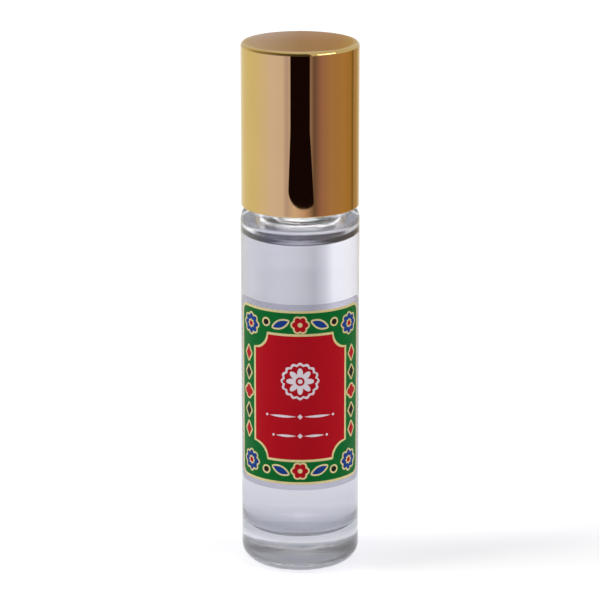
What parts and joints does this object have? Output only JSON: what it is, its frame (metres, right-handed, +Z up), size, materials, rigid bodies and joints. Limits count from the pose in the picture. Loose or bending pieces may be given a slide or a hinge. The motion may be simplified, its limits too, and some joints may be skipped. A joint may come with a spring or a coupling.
{
  "type": "roll-on bottle",
  "caption": "Slim clear-glass roll-on bottle of fragrance oil with a ball applicator, a tall gold screw cap and a printed front label.",
  "frame": {"origin": "centre of the foot ring, on the surface that the bottle stands on", "axes": "+Z up along the bottle's axis, -Y towards the viewer, out of the label's middle"},
  "size_m": [0.02, 0.0201, 0.09],
  "materials": {
    "clear_glass": "clear, fire polished",
    "clear_oil": "clear liquid",
    "label_film": "printed clear film, semi-gloss",
    "natural_polyethylene": "natural, satin",
    "polished_steel": "mirror polished",
    "gold_aluminium": "bright gold anodised",
    "white_polypropylene": "moulded, satin",
    "pad_foam": "soft, matt"
  },
  "bodies": {
    "bottle": {"glass_bottle": "clear_glass", "fragrance_oil": "clear_oil", "front_label": "label_film", "roller_housing": "natural_polyethylene"},
    "ball": {"roller_ball": "polished_steel"},
    "pad": {"cap_pad": "pad_foam"},
    "cap": {"cap_shell": "gold_aluminium", "cap_liner": "white_polypropylene"}
  },
  "joints": [
    {"name": "ball_roll", "type": "hinge", "parent": "bottle", "child": "ball", "pos_m": [0, 0, 0.0729], "axis": [1, 0, 0], "continuous": true},
    {"name": "cap_rise", "type": "slide", "parent": "bottle", "child": "pad", "axis": [0, 0, 1], "range_m": [0, 0.021]},
    {"name": "cap_turn", "type": "hinge", "parent": "pad", "child": "cap", "pos_m": [0, 0, 0.0783], "axis": [0, 0, 1], "range_deg": [0, 2540]}
  ],
  "couplings": [
    {"joint": "cap_turn", "follows": "cap_rise", "rad_per_m": 2094.4}
  ]
}
